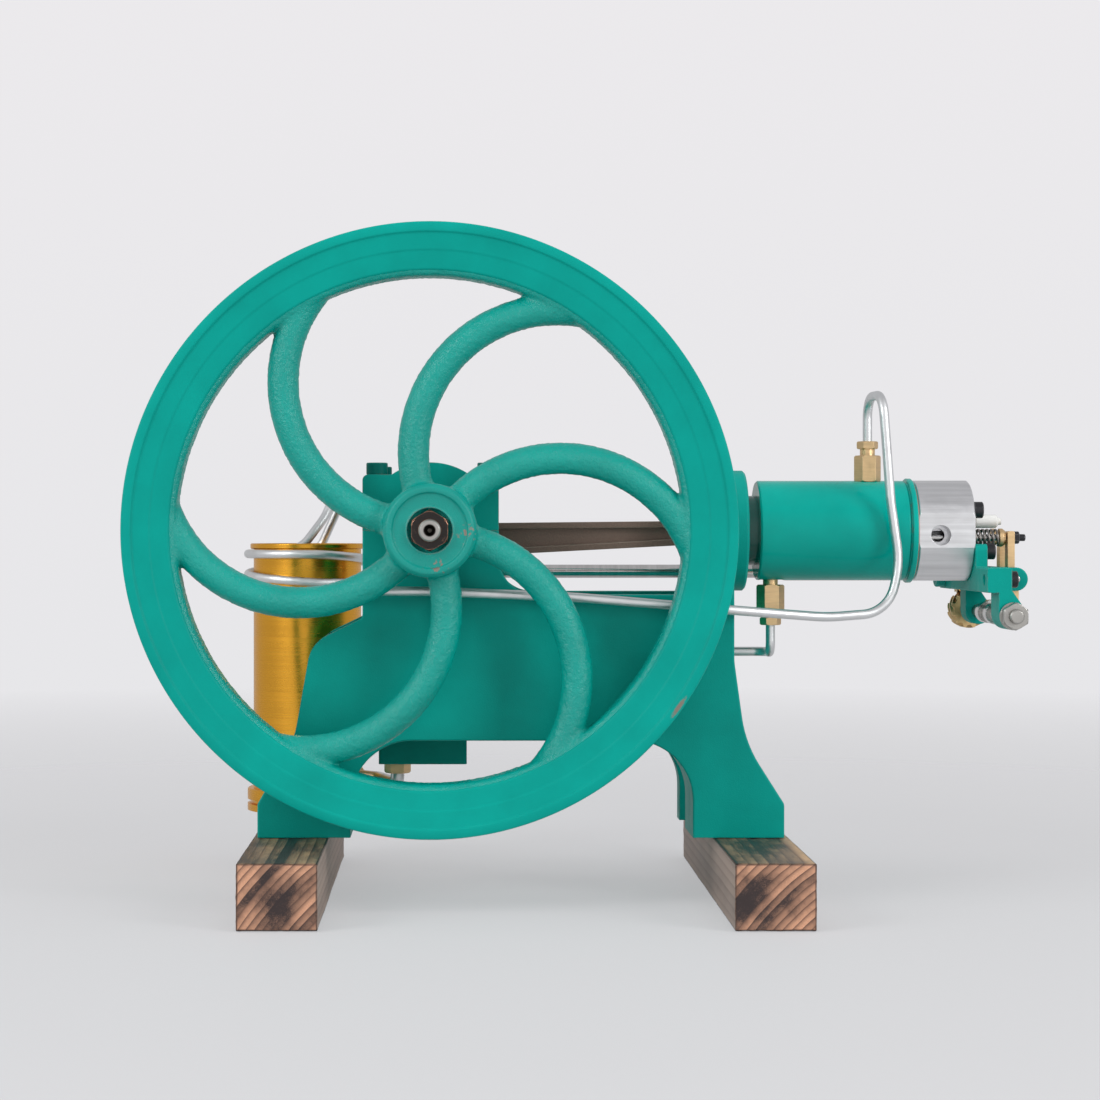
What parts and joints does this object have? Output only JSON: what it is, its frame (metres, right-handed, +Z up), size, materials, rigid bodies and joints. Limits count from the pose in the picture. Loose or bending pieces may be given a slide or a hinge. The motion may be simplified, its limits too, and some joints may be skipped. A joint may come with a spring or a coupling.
{
  "type": "model engine",
  "caption": "Horizontal model engine on wooden beams: spoked flywheel, open crank, water-jacketed cylinder, overhead valves worked by a side shaft, and a cooling tank.",
  "frame": {"origin": "centre of the footprint's bounding box, on the surface the beams stand on", "axes": "+X from the crank towards the cylinder head, +Y along the crankshaft away from the flywheel, +Z up"},
  "size_m": [0.3794, 0.231, 0.2795],
  "materials": {
    "teal_paint": "semi-gloss enamel over a sand casting",
    "teal_gloss": "smooth glossy enamel",
    "charred_pine": "pine, brushed and charred, oiled",
    "polished_steel": "ground and polished",
    "machined_steel": "fine turned",
    "black_steel": "black oxide",
    "worn_nut_steel": "dark with bright worn edges",
    "spring_steel": "drawn wire, tempered",
    "brass": "milled and turned",
    "bronze_rod": "dark bronze, as machined",
    "machined_aluminium": "bright milled and turned",
    "bent_aluminium": "drawn tube, satin",
    "gold_anodised": "gold anodised, finely turned",
    "copper": "annealed sheet",
    "seal_rubber": "moulded",
    "porcelain": "glazed white"
  },
  "bodies": {
    "frame": {"left_beam": "charred_pine", "right_beam": "charred_pine", "base_screws": "machined_steel", "engine_frame": "teal_paint", "near_bearing_cap": "teal_paint", "far_bearing_cap": "teal_paint", "bearing_cap_screws": "teal_paint", "crank_bushes": "brass", "cylinder_liner": "teal_gloss", "water_jacket": "teal_gloss", "jacket_seals": "seal_rubber", "jacket_ring": "teal_gloss", "head_gasket": "copper", "cylinder_head": "machined_aluminium", "head_screws": "black_steel", "spark_plug": "machined_steel", "spark_plug_insulator": "porcelain", "valve_bracket": "teal_paint", "pivot_block": "teal_paint", "bracket_screws": "black_steel", "side_shaft_bearing": "teal_paint", "rocker_pin": "polished_steel", "valve_guides": "brass", "inlet_spring": "spring_steel", "exhaust_spring": "spring_steel", "water_tank": "gold_anodised", "outlet_fittings": "brass", "manifold_block": "teal_paint", "jacket_fittings": "brass", "gland_nuts": "brass", "outlet_pipe": "brass", "return_pipe": "bent_aluminium", "hot_pipe": "bent_aluminium"},
    "crank": {"crankshaft": "machined_steel", "crank_gear": "machined_steel", "flywheel": "teal_paint", "flywheel_key": "machined_steel", "flywheel_nut": "worn_nut_steel"},
    "side_shaft": {"side_shaft": "polished_steel", "side_shaft_gear": "brass", "cam_drive_gear": "machined_steel"},
    "camshaft": {"camshaft": "polished_steel", "cams": "machined_steel", "camshaft_gear": "brass", "camshaft_nut": "machined_steel"},
    "piston": {"piston": "machined_aluminium", "piston_rings": "machined_steel", "wrist_pin": "polished_steel"},
    "rod": {"connecting_rod": "bronze_rod", "crank_pin": "polished_steel"},
    "inlet_rocker": {"inlet_rocker": "brass", "inlet_adjuster": "black_steel", "inlet_lock_nut": "brass"},
    "exhaust_rocker": {"exhaust_rocker": "brass", "exhaust_adjuster": "black_steel", "exhaust_lock_nut": "brass"},
    "inlet_valve": {"inlet_valve": "polished_steel", "inlet_retainer": "brass"},
    "exhaust_valve": {"exhaust_valve": "polished_steel", "exhaust_retainer": "brass"}
  },
  "joints": [
    {"name": "flywheel_spin", "type": "hinge", "parent": "frame", "child": "crank", "pos_m": [-0.0647, 0.0075, 0.1545], "axis": [0, 1, 0], "continuous": true},
    {"name": "side_shaft_spin", "type": "hinge", "parent": "frame", "child": "side_shaft", "pos_m": [0.0353, 0.0595, 0.1362], "axis": [1, 0, 0], "continuous": true},
    {"name": "camshaft_spin", "type": "hinge", "parent": "frame", "child": "camshaft", "pos_m": [0.1768, 0.0075, 0.119], "axis": [0, 1, 0], "continuous": true},
    {"name": "piston_slide", "type": "slide", "parent": "frame", "child": "piston", "axis": [1, 0, 0], "range_m": [-0.00056, 0.03944]},
    {"name": "rod_swing", "type": "hinge", "parent": "piston", "child": "rod", "pos_m": [0.07786, 0.0075, 0.1545], "axis": [0, 1, 0], "range_deg": [-5.32, 8.86]},
    {"name": "inlet_rocker_tilt", "type": "hinge", "parent": "frame", "child": "inlet_rocker", "pos_m": [0.1846, 0.016, 0.1338], "axis": [0, -1, 0], "range_deg": [0, 6]},
    {"name": "inlet_valve_slide", "type": "slide", "parent": "frame", "child": "inlet_valve", "axis": [-1, 0, 0], "range_m": [0, 0.00185], "stiffness_N_per_m": 1500, "springref_m": -0.002, "deforming": ["inlet_spring"]},
    {"name": "exhaust_rocker_tilt", "type": "hinge", "parent": "frame", "child": "exhaust_rocker", "pos_m": [0.1846, -0.001, 0.1338], "axis": [0, -1, 0], "range_deg": [0, 6]},
    {"name": "exhaust_valve_slide", "type": "slide", "parent": "frame", "child": "exhaust_valve", "axis": [-1, 0, 0], "range_m": [0, 0.00185], "stiffness_N_per_m": 1500, "springref_m": -0.002, "deforming": ["exhaust_spring"]}
  ],
  "couplings": [
    {"joint": "side_shaft_spin", "follows": "flywheel_spin", "ratio": 0.5},
    {"joint": "camshaft_spin", "follows": "flywheel_spin", "ratio": -0.5},
    {"joint": "inlet_rocker_tilt", "follows": "inlet_valve_slide", "rad_per_m": 56.497},
    {"joint": "exhaust_rocker_tilt", "follows": "exhaust_valve_slide", "rad_per_m": 56.497}
  ]
}
